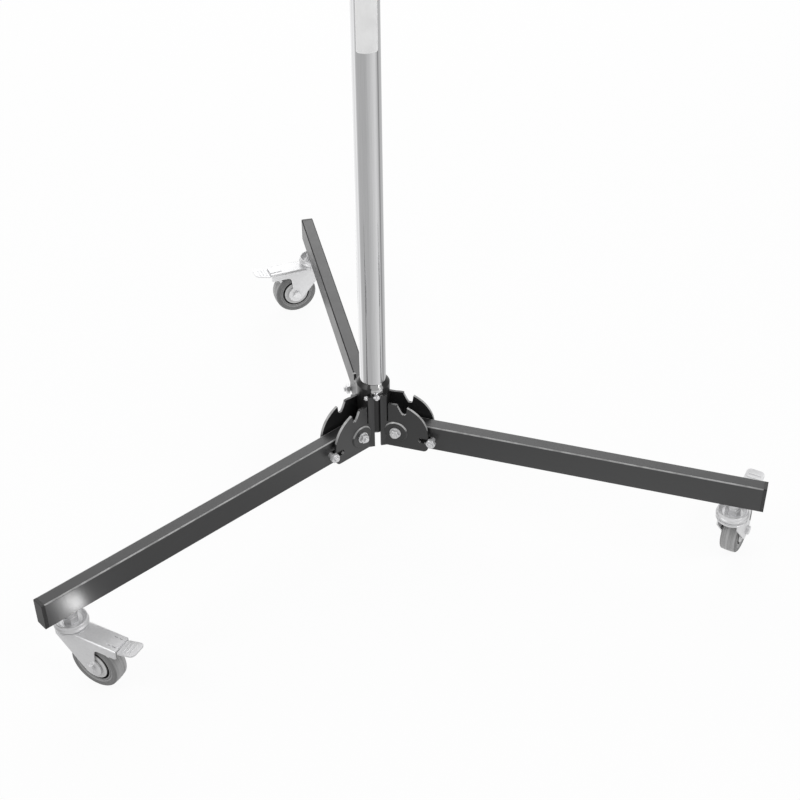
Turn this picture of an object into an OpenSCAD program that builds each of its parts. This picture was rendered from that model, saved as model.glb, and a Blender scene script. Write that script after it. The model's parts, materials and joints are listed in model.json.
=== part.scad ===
// Wheeled light stand: a round column on three folding box-tube legs, each on a braked
// swivel caster. Two risers telescope out of the column and end in a round spigot.
// The column's axis is Z, the floor is z = 0 and the rear leg points along +Y.
// Millimetres. The legs are open and their lock bolts are pulled back, free to fold.

/* [Column and risers] */
// Outer diameter of the base column
column_d = 38; // [34:0.5:42]
// Wall of the base column
column_wall = 2; // [1.5:0.1:2.5]
// Height of the column's lower end above the floor
column_bottom_z = 129; // [126:0.5:133]
// Height of the column's upper end
column_top_z = 950; // [700:5:1200]
// Outer diameter of the first riser
riser_1_d = 32; // [31:0.25:32.5]
// Outer diameter of the second riser
riser_2_d = 25; // [24:0.25:26]
// Wall of both risers
riser_wall = 1.8; // [1.2:0.1:2]
// Length of each riser's stroke
riser_stroke = 650; // [300:10:700]
// Diameter of the mounting spigot
spigot_d = 16; // [14:0.1:18]
// Length of the spigot's mounting part
spigot_l = 38; // [30:1:60]

/* [Hub] */
// Outer diameter of the hub sleeve that the plates are welded to
sleeve_d = 49; // [48.6:0.2:51]
// Height of the hub sleeve
sleeve_h = 77; // [70:1:84]
// Height of the sleeve's lower end above the column's
sleeve_lift = 5; // [1:0.5:8]
// Height of the weld fillet on the sleeve's top
fillet_h = 6; // [2:0.5:8]
// Thickness of a hinge plate
plate_t = 4; // [3:0.25:4.5]
// Gap between a plate and the side of its leg
plate_gap = 4; // [3:0.25:5]
// Distance of a leg's pivot from the column's axis
pivot_r = 39.9; // [39.9:0.1:41]
// Radius of the plate's rim about the pivot
rim_r = 49.3; // [48.5:0.1:50]
// Height of the plate's flat top edge above the pivot
plate_top = 48.2; // [47:0.2:49]
// Width of the plate's shoulder beyond the pivot
shoulder_x = 2.2; // [0:0.2:3]
// Depth of the plate's lower edge below the pivot
plate_drop = 27.5; // [26:0.5:30]
// Height of the flange strip's top above the pivot
strip_top = 63.4; // [58:0.2:66]
// Gap between two neighbouring flange strips
strip_gap = 9; // [6:0.5:11]
// Radius of the raised boss round a pivot
dish_r = 18; // [15:0.5:20]
// Height of the raised boss
dish_h = 2; // [1:0.25:2.5]

/* [Legs] */
// Width of the leg tube
leg_w = 20; // [18:0.5:22]
// Height of the leg tube
leg_h = 41.5; // [40:0.25:42]
// Wall of the leg tube
leg_wall = 2; // [1.5:0.1:2.5]
// Rounding of the leg tube's edges
leg_round = 2; // [1:0.1:2]
// Distance of the leg's outer end from the column's axis
leg_reach = 576; // [500:1:650]
// Height of the leg's upper face above the floor
leg_top_z = 153; // [152:0.25:158]
// Depth of the pivot below the leg's upper face
pivot_depth = 13.9; // [13.5:0.1:14]
// Depth of the lock bolt's slot below the pivot
slot_drop = 8.1; // [7.5:0.1:8.5]
// Thickness of the end cap's flange
cap_t = 5; // [3:0.25:6]
// Angle that a leg folds up through
fold_angle = 84; // [80:1:86]

/* [Bolts] */
// Diameter of the pivot bolts
pivot_bolt_d = 8; // [6:0.25:8]
// Outer diameter of the pivot sleeves
pivot_sleeve_d = 12; // [11:0.25:13]
// Diameter of the lock bolts
lock_bolt_d = 8; // [7:0.25:8]
// Distance of a seated lock bolt from the pivot, along the leg
lock_seat = 38.3; // [38:0.1:39]
// Travel of a lock bolt in its slot
lock_travel = 16; // [15.5:0.1:17]
// Hexagon of the bolt heads, across the flats
hex_af = 13; // [11:0.5:14]
// Thickness of the bolt heads and nuts
head_t = 5.5; // [4:0.25:6]
// Length of thread that stands out of a nut
thread_end = 3.5; // [2:0.25:5]
// Diameter of the washers under the pivot bolts
washer_d = 17; // [15:0.5:20]
// Thickness of the washers
washer_t = 1.4; // [1:0.1:2]

/* [Lock springs] */
// Mean diameter of a lock spring
spring_d = 8; // [7:0.25:9]
// Wire of a lock spring
spring_wire = 1.2; // [0.8:0.1:1.5]
// Number of curls in each spring
spring_curls = 10; // [6:1:12]

/* [Casters] */
// Distance of a caster's swivel axis from the leg's outer end
caster_setback = 41; // [30:1:60]
// Diameter of the wheels
wheel_d = 75; // [70:1:80]
// Width of the tyre
tyre_w = 24; // [20:0.5:25]
// Trail from the swivel axis back to the axle
trail = 37; // [34:0.5:40]
// Inner diameter of the tyre
tyre_bore = 54; // [50:0.5:58]
// Width of the fork over its sides
fork_w = 32; // [31:0.5:34]
// Sheet of the fork
fork_t = 2.2; // [1.8:0.1:2.5]
// Height of the fork's top face above the floor
fork_top_z = 86.5; // [84:0.5:88]
// Length of the fork's hood from the swivel axis
hood_l = 81; // [78:0.5:84]
// Depth of the hood's side skirt at its rear end
skirt_h = 10; // [9.5:0.25:11]
// Radius of the fork's round end about the axle
boss_r = 18.5; // [16:0.5:19]
// Diameter of the swivel cup
cup_d = 47; // [44:0.5:50]
// Diameter of the axles
axle_d = 8; // [6:0.25:8]
// Diameter of the kingpins
kingpin_d = 12; // [10:0.5:12]
// Rounding of the tyre's shoulders
tyre_round = 3; // [1.5:0.25:5]
// Width of the brake pedal's tread
pedal_w = 27; // [22:0.5:27]
// Depth of the pedal's pin below the fork's top face
pin_drop = 6.2; // [6.2:0.1:6.5]
// How far the pedal's tread reaches past the hood
pedal_l = 27; // [20:0.5:32]
// Angle that the pedal is pressed through
pedal_angle = 12; // [6:1:12]
// Headings of the three casters against their legs: left, right, rear
caster_heading = [109, 78, 98.7];

/* [Collars and knobs] */
// Outer diameter of the lower collar
collar_1_d = 54; // [52:0.5:60]
// Height of both collars
collar_h = 52; // [40:1:60]
// Outer diameter of the upper collar
collar_2_d = 46; // [44:0.5:50]
// Diameter of the clamp knobs
knob_d = 40; // [32:1:46]
// Length of the knobs' grip
knob_l = 18; // [14:1:24]
// Diameter of the knobs' screws
screw_d = 8; // [6:0.5:9]
// Distance of a loosened screw's tip from the tube that it clamps
screw_back = 2; // [1.5:0.1:3]

/* [Clearances] */
// Gap between fixed pieces that sit in each other
fit_gap = 0.1; // [0.05:0.05:0.15]
// Gap between faces that slide or turn on each other
run_gap = 0.4; // [0.3:0.05:0.4]
// Gap round a bolt or pin in its hole
hole_gap = 0.1; // [0.05:0.05:0.15]

/* [Hidden] */
$fn = 48;
SIDES = ["left", "right", "rear"];
leg_azimuth = [210, 330, 90];

function per_leg(name) = [for (side = SIDES) str(name, "_", side)];

// Colours as the photograph shows them
black_paint = [0.16, 0.16, 0.17];
chrome = [0.80, 0.81, 0.82];
zinc = [0.74, 0.75, 0.76];
rubber_grey = [0.47, 0.47, 0.48];
rim_grey = [0.66, 0.66, 0.67];
steel_grey = [0.55, 0.56, 0.58];
knob_black = [0.10, 0.10, 0.11];

eps = 0.01;

// Hub, measured from the floor
pivot_z = leg_top_z - pivot_depth;
plate_in = leg_w / 2 + plate_gap;
plate_out = plate_in + plate_t;
strip_in = sleeve_d / 2 + fit_gap / 2;
strip_out = strip_in + plate_t;
// The two plates on either side of the front gap have strips, and the others are flat
strip_on_a = [true, false, false];
strip_on_b = [false, true, false];
// Where a flat plate's outline starts, inside the sleeve's surface
butt_x = sqrt(strip_in * strip_in - plate_out * plate_out) - 1 - pivot_r;
// Where the outer faces of a plate and of its strip meet, along the leg from the column's axis
bend_t = 2 * strip_out - sqrt(3) * plate_out;
bend_in_t = 2 * strip_in - sqrt(3) * plate_in;
// Where the flat plate ends beside the bend, along the leg from the pivot
plate_x = bend_t - pivot_r + 0.3;
lock_r = lock_bolt_d / 2;
notch_half = lock_r + hole_gap + 0.1;
lock_head_in = plate_out + run_gap;
seat_polar = atan2(-slot_drop, lock_seat);
seat_r = norm([lock_seat, slot_drop]);

// Side of each leg that the nuts are on, as a turn about Z
nut_turn = [0, 180, 0];

// Legs, with x along the leg from the pivot
leg_len = leg_reach - pivot_r;
heel_r = pivot_r - sleeve_d / 2 - 0.6;
leg_bottom_z = leg_top_z - leg_h;
leg_mid = pivot_depth - leg_h / 2;
slot_start = lock_seat - lock_r - run_gap;
slot_end = lock_seat + lock_travel + lock_r + run_gap;
slot_half = lock_r + hole_gap;

// Casters, with x along the trail from the swivel axis
caster_reach = leg_reach - caster_setback;
wheel_r = wheel_d / 2;
axle_z = wheel_r;
fork_in = fork_w / 2 - fork_t;
flange_t = 1.6;
cup_bottom_z = fork_top_z + flange_t + run_gap;
cup_h = 11;
cup_top_z = cup_bottom_z + cup_h;
ball_d = 5;
ball_ring_r = cup_d / 2 - 6.2;
ball_count = 16;
ball_z = fork_top_z + ball_d / 2 + fit_gap;
hub_r = 8;
brake_pin_x = hood_l - 11;
brake_pin_z = fork_top_z - pin_drop;
brake_pin_d = 4;
// Gap between the brake's nose and the tyre with the pedal pressed
brake_gap = 0.3;

// Upper end
column_bore = column_d - 2 * column_wall;
riser_1_bore = riser_1_d - 2 * riser_wall;
collar_1_z = column_top_z - collar_h * 0.62;
collar_1_top = collar_1_z + collar_h;
collar_2_z = collar_1_top + 14;
collar_2_top = collar_2_z + collar_h;
riser_1_top = collar_2_z + collar_h * 0.62;
riser_2_top = collar_2_top + 24;
riser_1_foot = column_bottom_z + 20;
riser_2_foot = riser_1_foot + 12;

// Placing

module on_leg(i) {
    rotate([0, 0, leg_azimuth[i]])
        children();
}

module at_pivot(i) {
    on_leg(i)
        translate([pivot_r, 0, pivot_z])
            children();
}

module at_caster(i) {
    on_leg(i)
        translate([caster_reach, 0, 0])
            rotate([0, 0, caster_heading[i]])
                children();
}

// Extrudes a drawing made in x and z by a thickness that starts at y = from
module upright(from, thickness) {
    translate([0, from + thickness, 0])
        rotate([90, 0, 0])
            linear_extrude(thickness)
                children();
}

// Shared shapes

module tube(d, bore, z0, z1) {
    translate([0, 0, z0])
        difference() {
            cylinder(h = z1 - z0, d = d);
            translate([0, 0, -1])
                cylinder(h = z1 - z0 + 2, d = bore);
        }
}

module rounded_box_2d(x, y, r) {
    square([x - 2 * r, y], center = true);
    square([x, y - 2 * r], center = true);
    for (sx = [-1, 1], sy = [-1, 1])
        translate([sx * (x / 2 - r), sy * (y / 2 - r)])
            circle(r = r);
}

// A hexagon head with its bearing face at z = 0 and a turned crown on top
module hex_head(af, t) {
    intersection() {
        cylinder(h = t, d = af / cos(30), $fn = 6);
        rotate_extrude()
            polygon([[0, 0], [af / 2 * 1.16, 0], [af / 2 * 1.16, t * 0.72],
                     [af / 2 * 0.94, t], [0, t]]);
    }
}

// A pin along y with a head at -y, a nut at +y and a thread end that stands out of the nut.
// A washer of thickness w can lie under both.
module through_bolt(d, half, af, t, tip = 0, w = 0) {
    rotate([90, 0, 0])
        translate([0, 0, -half - w - t - tip]) {
            translate([0, 0, 0.8])
                cylinder(h = 2 * (half + w + t) + tip - 0.8, d = d);
            cylinder(h = 0.8 + eps, d1 = d - 1.6, d2 = d);
        }
    for (side = [-1, 1])
        rotate([-side * 90, 0, 0])
            translate([0, 0, half]) {
                translate([0, 0, w])
                    hex_head(af, t);
                if (w > 0)
                    cylinder(h = w + eps, d = washer_d);
            }
}

// Column and risers

module base_column() {
    color(chrome)
        tube(column_d, column_bore, column_bottom_z, column_top_z);
}

// A riser is a tube with a wider guide ring at its foot
module riser(d, bore, guide_d, z0, z1) {
    guide_h = 22;
    difference() {
        union() {
            translate([0, 0, z0])
                cylinder(h = z1 - z0, d = d);
            translate([0, 0, z0])
                cylinder(h = guide_h, d = guide_d);
        }
        translate([0, 0, z0 - 1])
            cylinder(h = z1 - z0 + 2, d = bore);
    }
}

module riser_1() {
    color(chrome)
        riser(riser_1_d, riser_1_bore, column_bore - 2 * run_gap, riser_1_foot, riser_1_top);
}

module riser_2() {
    color(chrome)
        riser(riser_2_d, riser_2_d - 2 * riser_wall, riser_1_bore - 2 * run_gap,
              riser_2_foot, riser_2_top);
}

// The spigot: a plug in the second riser, a shoulder, and the pin with its groove
module spigot() {
    plug_l = 40;
    shoulder_h = 12;
    groove_h = 7;
    groove_d = spigot_d * 0.8;
    plug_d = riser_2_d - 2 * riser_wall - 2 * fit_gap;
    color(zinc)
        translate([0, 0, riser_2_top])
            rotate_extrude()
                polygon([[0, -plug_l], [plug_d / 2, -plug_l], [plug_d / 2, 0],
                         [riser_2_d / 2, 0], [riser_2_d / 2, shoulder_h - 3],
                         [spigot_d / 2 + 1, shoulder_h], [spigot_d / 2, shoulder_h],
                         [spigot_d / 2, shoulder_h + (spigot_l - groove_h) / 2],
                         [groove_d / 2, shoulder_h + (spigot_l - groove_h) / 2 + 1],
                         [groove_d / 2, shoulder_h + (spigot_l + groove_h) / 2 - 1],
                         [spigot_d / 2, shoulder_h + (spigot_l + groove_h) / 2],
                         [spigot_d / 2, shoulder_h + spigot_l - 1],
                         [spigot_d / 2 - 1, shoulder_h + spigot_l],
                         [0, shoulder_h + spigot_l]]);
}

// A cast collar: a sleeve on the outer tube, a lip over its end that guides the inner
// tube, and a lug for the clamp screw that points along +X
module collar(d, outer_tube, inner_tube, z0, seat_z) {
    lug_l = 13;
    lug_d = 24;
    lug_z = z0 + collar_h - lug_d / 2 - 3;
    difference() {
        union() {
            translate([0, 0, z0])
                rotate_extrude()
                    polygon([[0, 0], [d / 2 - 2, 0], [d / 2, 2], [d / 2, collar_h - 3],
                             [d / 2 - 3, collar_h], [0, collar_h]]);
            translate([0, 0, lug_z])
                rotate([0, 90, 0])
                    cylinder(h = d / 2 + lug_l, d = lug_d);
        }
        translate([0, 0, z0 - 1])
            cylinder(h = seat_z - z0 + 1 + fit_gap, d = outer_tube + 2 * fit_gap);
        translate([0, 0, z0 - 1])
            cylinder(h = collar_h + 2, d = inner_tube + 2 * run_gap);
        translate([inner_tube / 2 - 1, 0, lug_z])
            rotate([0, 90, 0])
                cylinder(h = d / 2 + lug_l, d = screw_d + 2 * hole_gap);
    }
}

// A clamp knob: the screw, its neck and a grip with six finger hollows
module knob(d, inner_tube, z0) {
    lug_l = 13;
    lug_d = 24;
    lug_z = z0 + collar_h - lug_d / 2 - 3;
    grip_x = d / 2 + lug_l + 3;
    hollow_d = knob_d * 0.3;
    translate([0, 0, lug_z])
        rotate([0, 90, 0]) {
            translate([0, 0, inner_tube / 2 + screw_back])
                cylinder(h = grip_x + 1 - inner_tube / 2 - screw_back, d = screw_d);
            difference() {
                translate([0, 0, grip_x])
                    rotate_extrude()
                        polygon([[0, -2], [8, -2], [10, 0], [knob_d / 2 - 2, 0],
                                 [knob_d / 2, 2], [knob_d / 2, knob_l - 3],
                                 [knob_d / 2 - 3, knob_l], [0, knob_l]]);
                for (k = [0:5])
                    rotate([0, 0, k * 60])
                        translate([knob_d / 2 + hollow_d * 0.22, 0, grip_x - 1])
                            cylinder(h = knob_l + 2, d = hollow_d);
            }
        }
}

module collar_1() {
    color(knob_black)
        collar(collar_1_d, column_d, riser_1_d, collar_1_z, column_top_z);
}

module collar_2() {
    color(knob_black)
        collar(collar_2_d, riser_1_d, riser_2_d, collar_2_z, riser_1_top);
}

module knob_1() {
    color(knob_black)
        knob(collar_1_d, riser_1_d, collar_1_z);
}

module knob_2() {
    color(knob_black)
        knob(collar_2_d, riser_2_d, collar_2_z);
}

// Hub

module hub_sleeve() {
    bore_r = column_d / 2 + fit_gap;
    color(chrome)
        translate([0, 0, column_bottom_z + sleeve_lift])
            rotate_extrude()
                polygon([[bore_r, 0], [sleeve_d / 2 - 1, 0], [sleeve_d / 2, 1],
                         [sleeve_d / 2, sleeve_h], [bore_r + 0.6, sleeve_h + fillet_h],
                         [bore_r, sleeve_h + fillet_h]]);
}

// A corner of a strip's free end, at a distance from the column's axis
function strip_point(r) =
    [r * cos(60) + strip_gap / 2 * sin(60), r * sin(60) - strip_gap / 2 * cos(60)];

// The plate's outline, with x along the leg from the pivot and y up
module plate_outline(inner_x) {
    notch_mouth = rim_r + 12;
    finger_top = -slot_drop - notch_half;
    finger_r = (plate_drop + finger_top) / 2;
    difference() {
        union() {
            // The sector above the lower notch
            intersection() {
                circle(r = rim_r, $fn = 96);
                translate([inner_x, finger_top])
                    square([rim_r - inner_x + 1, rim_r - finger_top + 1]);
            }
            // The shoulder beside the column
            translate([inner_x, 0])
                square([shoulder_x - inner_x, plate_top]);
            // The web below the pivot and the finger under the lower notch
            translate([inner_x, -plate_drop])
                square([rim_r - finger_r - inner_x, 2 * finger_r]);
            translate([rim_r - finger_r, -plate_drop + finger_r])
                circle(r = finger_r);
            translate([inner_x, -plate_drop])
                square([lock_seat - inner_x, plate_drop]);
        }
        // The lower notch, where the lock bolt holds the leg open
        translate([lock_seat, -slot_drop])
            circle(r = notch_half);
        translate([lock_seat, -slot_drop - notch_half])
            square([notch_mouth, 2 * notch_half]);
        // The upper notch, where it holds the leg folded
        rotate(fold_angle)
            translate([lock_seat, -slot_drop]) {
                circle(r = notch_half);
                translate([0, -notch_half])
                    square([notch_mouth, 2 * notch_half]);
            }
        // The upper notch opens towards the shoulder
        polygon([
            [shoulder_x, plate_top + 1],
            [shoulder_x, plate_top - 1],
            seat_r * [cos(fold_angle + seat_polar), sin(fold_angle + seat_polar)]
                + notch_half * [-sin(fold_angle), cos(fold_angle)]
                - 1.5 * [cos(fold_angle), sin(fold_angle)],
            seat_r * [cos(fold_angle + seat_polar), sin(fold_angle + seat_polar)],
            rim_r * [cos(fold_angle + seat_polar), sin(fold_angle + seat_polar)]
                + [0, 12]
        ]);
    }
}

// A hinge plate is bent round into a strip that lies on the sleeve, and is slit off above
// the raised boss
module strip_plate() {
    slit_w = 2.2;
    slit_bottom = dish_r - 1;
    upright(plate_in, plate_t)
        difference() {
            plate_outline(plate_x);
            translate([plate_x - 1, slit_bottom])
                square([slit_w + 1, 100]);
        }
    // The strip, tangential to the sleeve
    translate([-pivot_r, 0, -plate_drop])
        linear_extrude(plate_drop + strip_top)
            polygon([[bend_t, plate_out],
                     strip_point(strip_out), strip_point(strip_in),
                     [bend_in_t, plate_in],
                     [plate_x + pivot_r, plate_in], [plate_x + pivot_r, plate_out]]);
}

// A flat plate runs on inwards and is hollowed at its inner end to fit against the sleeve
module butt_plate() {
    difference() {
        upright(plate_in, plate_t)
            plate_outline(butt_x);
        translate([-pivot_r, 0, -plate_drop - 1])
            cylinder(h = plate_drop + plate_top + 2, r = strip_in);
    }
}

// One hinge plate, on the side of the leg that y points to
module hinge_plate(with_strip) {
    difference() {
        union() {
            if (with_strip) strip_plate();
            else butt_plate();
            // Its raised boss
            rotate([-90, 0, 0])
                translate([0, 0, plate_out])
                    rotate_extrude()
                        polygon([[0, -1], [dish_r, -1], [dish_r, 0.4],
                                 [dish_r - 1.6, dish_h], [0, dish_h]]);
        }
        // The pivot hole
        rotate([-90, 0, 0])
            cylinder(h = 60, d = pivot_bolt_d + 2 * hole_gap);
    }
}

module hinge_plate_a(i) {
    color(black_paint)
        at_pivot(i)
            hinge_plate(strip_on_a[i]);
}

module hinge_plate_b(i) {
    color(black_paint)
        at_pivot(i)
            mirror([0, 1, 0])
                hinge_plate(strip_on_b[i]);
}

module pivot_bolts() {
    color(zinc)
        for (i = [0:2])
            at_pivot(i)
                rotate([0, 0, nut_turn[i]])
                    through_bolt(pivot_bolt_d, plate_out + dish_h + fit_gap, hex_af, head_t,
                                 thread_end, washer_t);
}

// The sleeve that a leg turns on, and a spacer ring on each side of the leg
module pivot_sleeves() {
    half = plate_in - fit_gap;
    spacer_in = leg_w / 2 + run_gap;
    color(steel_grey)
        for (i = [0:2])
            at_pivot(i)
                rotate([90, 0, 0]) {
                    tube(pivot_sleeve_d, pivot_bolt_d + 2 * fit_gap, -half, half);
                    tube(pivot_sleeve_d + 8, pivot_sleeve_d + 2 * fit_gap, spacer_in, half);
                    tube(pivot_sleeve_d + 8, pivot_sleeve_d + 2 * fit_gap, -half, -spacer_in);
                }
}

// Legs

// The tube's section, with y up
module leg_profile() {
    rounded_box_2d(leg_w, leg_h, leg_round);
}

module leg_bore_profile() {
    rounded_box_2d(leg_w - 2 * leg_wall, leg_h - 2 * leg_wall, leg_round / 2);
}

// The box tube, with x along the leg from the pivot
module leg_body() {
    heel = heel_r;
    tube_l = leg_len - cap_t + heel;
    kingpin_x = caster_reach - pivot_r;
    difference() {
        translate([-heel, 0, leg_mid])
            rotate([90, 0, 90])
                difference() {
                    linear_extrude(tube_l)
                        leg_profile();
                    translate([0, 0, -1])
                        linear_extrude(tube_l + 2)
                            leg_bore_profile();
                }
        // The heel is rounded about the pivot, to turn past the sleeve
        upright(-leg_w, 2 * leg_w)
            difference() {
                translate([-heel - 1, 0])
                    square([heel + 1, 40]);
                circle(r = heel_r);
            }
        // The top wall is bevelled where the folded leg lies beside the sleeve
        rotate([0, fold_angle, 0])
            translate([-heel_r - 20, -leg_w, -60])
                cube([20, 2 * leg_w, 120]);
        // The pivot's bearing holes
        rotate([90, 0, 0])
            translate([0, 0, -leg_w])
                cylinder(h = 2 * leg_w, d = pivot_sleeve_d + 2 * run_gap);
        // The lock bolt's slots
        upright(-leg_w, 2 * leg_w)
            translate([0, -slot_drop]) {
                translate([slot_start + slot_half, -slot_half])
                    square([slot_end - slot_start - 2 * slot_half, 2 * slot_half]);
                for (x = [slot_start + slot_half, slot_end - slot_half])
                    translate([x, 0])
                        circle(r = slot_half);
            }
        // The kingpin's hole through the lower wall
        translate([kingpin_x, 0, -pivot_z])
            cylinder(h = leg_bottom_z + leg_wall + 3, d = kingpin_d + 2 * fit_gap);
    }
}

module leg_tube(i) {
    color(black_paint)
        at_pivot(i)
            leg_body();
}

// The end cap: a flange flush with the tube and a hollow plug with two ribs inside it
module leg_cap(i) {
    plug_l = 16;
    plug_wall = 1.8;
    plug_h = leg_h - 2 * leg_wall - 2 * fit_gap;
    plug_w = leg_w - 2 * leg_wall - 2 * fit_gap;
    color(black_paint)
        at_pivot(i)
            translate([leg_len, 0, leg_mid])
                rotate([90, 0, -90]) {
                    linear_extrude(cap_t)
                        leg_profile();
                    translate([0, 0, cap_t - eps])
                        linear_extrude(plug_l)
                            difference() {
                                rounded_box_2d(plug_w, plug_h, leg_round / 2);
                                square([plug_w - 2 * plug_wall, plug_h - 2 * plug_wall],
                                       center = true);
                            }
                }
}

module lock_bolt(i) {
    color(zinc)
        at_pivot(i)
            translate([lock_seat + lock_travel, 0, -slot_drop])
                rotate([0, 0, nut_turn[i]])
                    through_bolt(lock_bolt_d, lock_head_in, hex_af, head_t, thread_end);
}

// Lock springs: one unbroken wire of six sides, eight rings to a curl, with straight ends
// that reach the pivot sleeve and the lock bolt

spring_r = spring_d / 2;
spring_axis_end = [lock_seat + lock_travel, 0, -slot_drop];
spring_span = norm(spring_axis_end) - pivot_sleeve_d / 2 - lock_r - 2 * run_gap;
spring_coil_l = spring_span - 2 * spring_wire;
spring_rings = 8 * spring_curls;

// A point of the wire's centre line, from one straight end to the other
function wire_centre(k) =
    k < 0 ? [0, spring_r, 0]
    : k > spring_rings ? [spring_span, spring_r * cos(45 * spring_rings), 0]
    : [spring_wire + spring_coil_l * k / spring_rings,
       spring_r * cos(45 * k), spring_r * sin(45 * k)];

function wire_centres() = [for (k = [-1:spring_rings + 1]) wire_centre(k)];

function unit(v) = v / norm(v);

function ring_direction(c, k) =
    k == 0 ? unit(c[1] - c[0])
    : k == len(c) - 1 ? unit(c[k] - c[k - 1])
    : unit(unit(c[k + 1] - c[k]) + unit(c[k] - c[k - 1]));

// Six points round a centre, square to the wire, with one of them away from the axis
function wire_ring(c, k) =
    let (dir = ring_direction(c, k))
    let (out = [0, c[k][1], c[k][2]])
    let (across = unit(cross(dir, out)))
    let (away = cross(across, dir))
    [for (a = [0:60:300]) c[k] + spring_wire / 2 * (cos(a) * away + sin(a) * across)];

module wire_coil() {
    centres = wire_centres();
    rings = len(centres);
    points = [for (k = [0:rings - 1]) each wire_ring(centres, k)];
    sides = [for (k = [0:rings - 2], j = [0:5]) each
        let (a = 6 * k + j)
        let (b = 6 * k + (j + 1) % 6)
        [[a, b, b + 6], [a, b + 6, a + 6]]];
    first = [for (j = [1:4]) [0, j + 1, j]];
    last = [for (j = [1:4]) 6 * (rings - 1) * [1, 1, 1] + [0, j, j + 1]];
    polyhedron(points = points, faces = concat(sides, first, last), convexity = 10);
}

// The least gap of the wire to itself, over rings at least half a curl apart
spring_gap = let (c = wire_centres())
    min([for (k = [1:len(c) - 6], m = [k + 5:1:min(len(c) - 2, k + 12)]) norm(c[k] - c[m])])
    - spring_wire;
echo(least_spring_gap = spring_gap);

module lock_spring(i) {
    tilt = atan2(slot_drop, lock_seat + lock_travel);
    color(zinc)
        at_pivot(i)
            rotate([0, tilt, 0])
                translate([pivot_sleeve_d / 2 + run_gap, 0, 0])
                    wire_coil();
}

// Casters

// The kingpin: a riveted foot under the fork, a shank, the hexagon in the cup and the
// threaded end with its nut inside the leg
module caster_kingpin(i) {
    foot_t = 3;
    seat_z = cup_top_z - 4.5;
    color(zinc)
        on_leg(i) translate([caster_reach, 0, 0]) {
            translate([0, 0, fork_top_z - fork_t - run_gap - foot_t])
                cylinder(h = foot_t, d = kingpin_d + 7);
            translate([0, 0, fork_top_z - fork_t - run_gap - eps])
                cylinder(h = leg_bottom_z + 16 - fork_top_z + fork_t + run_gap, d = kingpin_d);
            translate([0, 0, seat_z])
                cylinder(h = 9, d = 19 / cos(30), $fn = 6);
            translate([0, 0, seat_z + 9 - eps])
                cylinder(h = leg_bottom_z - fit_gap - seat_z - 9, d = 17);
            translate([0, 0, leg_bottom_z + leg_wall + fit_gap])
                intersection() {
                    cylinder(h = 8, d = 19 / cos(30), $fn = 6);
                    translate([-20, -leg_w / 2 + leg_wall + leg_round / 2, 0])
                        cube([40, leg_w - 2 * leg_wall - leg_round, 8]);
                }
        }
}

// The fixed cup: a pressed ring with a rolled rim, a hollow top and a ball track below
module caster_cup(i) {
    r = cup_d / 2;
    seat = cup_h - 4.5 - fit_gap;
    track_r = ball_d / 2 + run_gap;
    color(zinc)
        at_caster(i)
            translate([0, 0, cup_bottom_z])
                rotate_extrude()
                    difference() {
                        union() {
                            polygon([[kingpin_d / 2 + fit_gap, 0], [r - 2.2, 0], [r - 0.4, 2.4],
                                     [r - 0.4, 4.6], [r - 1.6, 6], [r - 1.6, cup_h - 1.5],
                                     [r - 4.6, cup_h - 1.5], [r - 8.4, seat - 0.6],
                                     [kingpin_d / 2 + 6, seat - 0.6], [kingpin_d / 2 + 6, seat],
                                     [kingpin_d / 2 + fit_gap, seat]]);
                            translate([r - 3.1, cup_h - 1.5])
                                circle(r = 1.5);
                            translate([r - 1.5, 3.5])
                                circle(r = 1.5);
                        }
                        translate([ball_ring_r, ball_z - cup_bottom_z])
                            circle(r = track_r);
                    }
}

// The balls that carry the cup
module caster_balls(i) {
    color(steel_grey)
        at_caster(i)
            for (k = [0:ball_count - 1])
                rotate([0, 0, k * 360 / ball_count])
                    translate([ball_ring_r, 0, ball_z])
                        sphere(d = ball_d, $fn = 24);
}

// The fork's cross-section: a channel with rounded upper corners, y across and z up
module fork_section() {
    bend = 3.5;
    difference() {
        union() {
            translate([-fork_w / 2, 0])
                square([fork_w, fork_top_z - bend]);
            translate([-fork_w / 2 + bend, 0])
                square([fork_w - 2 * bend, fork_top_z]);
            for (side = [-1, 1])
                translate([side * (fork_w / 2 - bend), fork_top_z - bend])
                    circle(r = bend);
        }
        translate([-fork_in, -1])
            square([2 * fork_in, fork_top_z - fork_t - (bend - fork_t) + 1]);
        translate([-fork_in + (bend - fork_t), 0])
            square([2 * (fork_in - bend + fork_t), fork_top_z - fork_t]);
        for (side = [-1, 1])
            translate([side * (fork_in - bend + fork_t), fork_top_z - bend])
                circle(r = bend - fork_t);
    }
}

// The fork's side view, x along the trail and z up
module fork_side() {
    front_x = -22.6;
    front_z = fork_top_z - 2.5;
    neck_x = trail + 8;
    fillet_r = 7;
    skirt_z = fork_top_z - skirt_h;
    to_front = [front_x - trail, front_z - axle_z];
    tangent_a = atan2(to_front[1], to_front[0]) + acos(boss_r / norm(to_front));
    tangent = [trail, axle_z] + boss_r * [cos(tangent_a), sin(tangent_a)];
    neck_z = axle_z + sqrt(boss_r * boss_r - (neck_x - trail) * (neck_x - trail));
    translate([trail, axle_z])
        circle(r = boss_r);
    polygon([tangent, [trail, axle_z], [neck_x, neck_z], [neck_x, skirt_z],
             [hood_l, skirt_z], [hood_l, fork_top_z], [front_x, fork_top_z],
             [front_x, front_z]]);
    difference() {
        translate([neck_x - eps, skirt_z - fillet_r])
            square([fillet_r + eps, fillet_r + eps]);
        translate([neck_x + fillet_r, skirt_z - fillet_r])
            circle(r = fillet_r);
    }
}

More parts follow.
